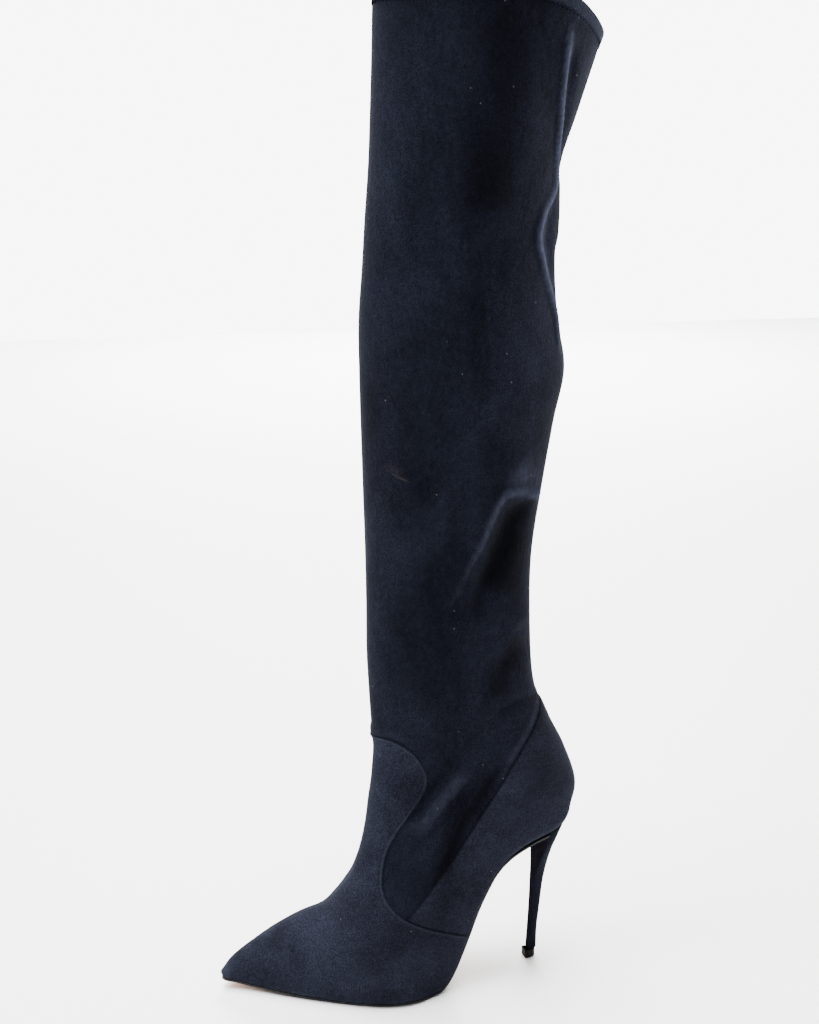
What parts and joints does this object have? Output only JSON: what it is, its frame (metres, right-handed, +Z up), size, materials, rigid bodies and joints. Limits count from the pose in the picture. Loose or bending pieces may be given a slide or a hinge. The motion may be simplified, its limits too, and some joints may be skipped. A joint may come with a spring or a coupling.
{
  "type": "over-the-knee stiletto boot",
  "caption": "Left over-the-knee pull-on boot in stretch suede: pointed toe, S-edged vamp, heel counter and slim stiletto heel.",
  "frame": {"origin": "middle of the heel tip's foot, on the floor", "axes": "+Z up along the shaft, -Y towards the toe, +X towards the outer side of the left leg"},
  "size_m": [0.1038, 0.2533, 0.6553],
  "materials": {
    "stretch_suede": "matt with a soft nap",
    "suede": "matt with a soft nap",
    "sole_leather": "smooth, half matt",
    "lining": "matt",
    "rubber": "matt"
  },
  "bodies": {
    "root": {"upper": "stretch_suede", "collar_hem": "stretch_suede", "vamp": "suede", "counter": "suede", "heel": "suede", "outsole": "sole_leather", "insole": "lining", "heel_tip": "rubber"}
  },
  "joints": []
}
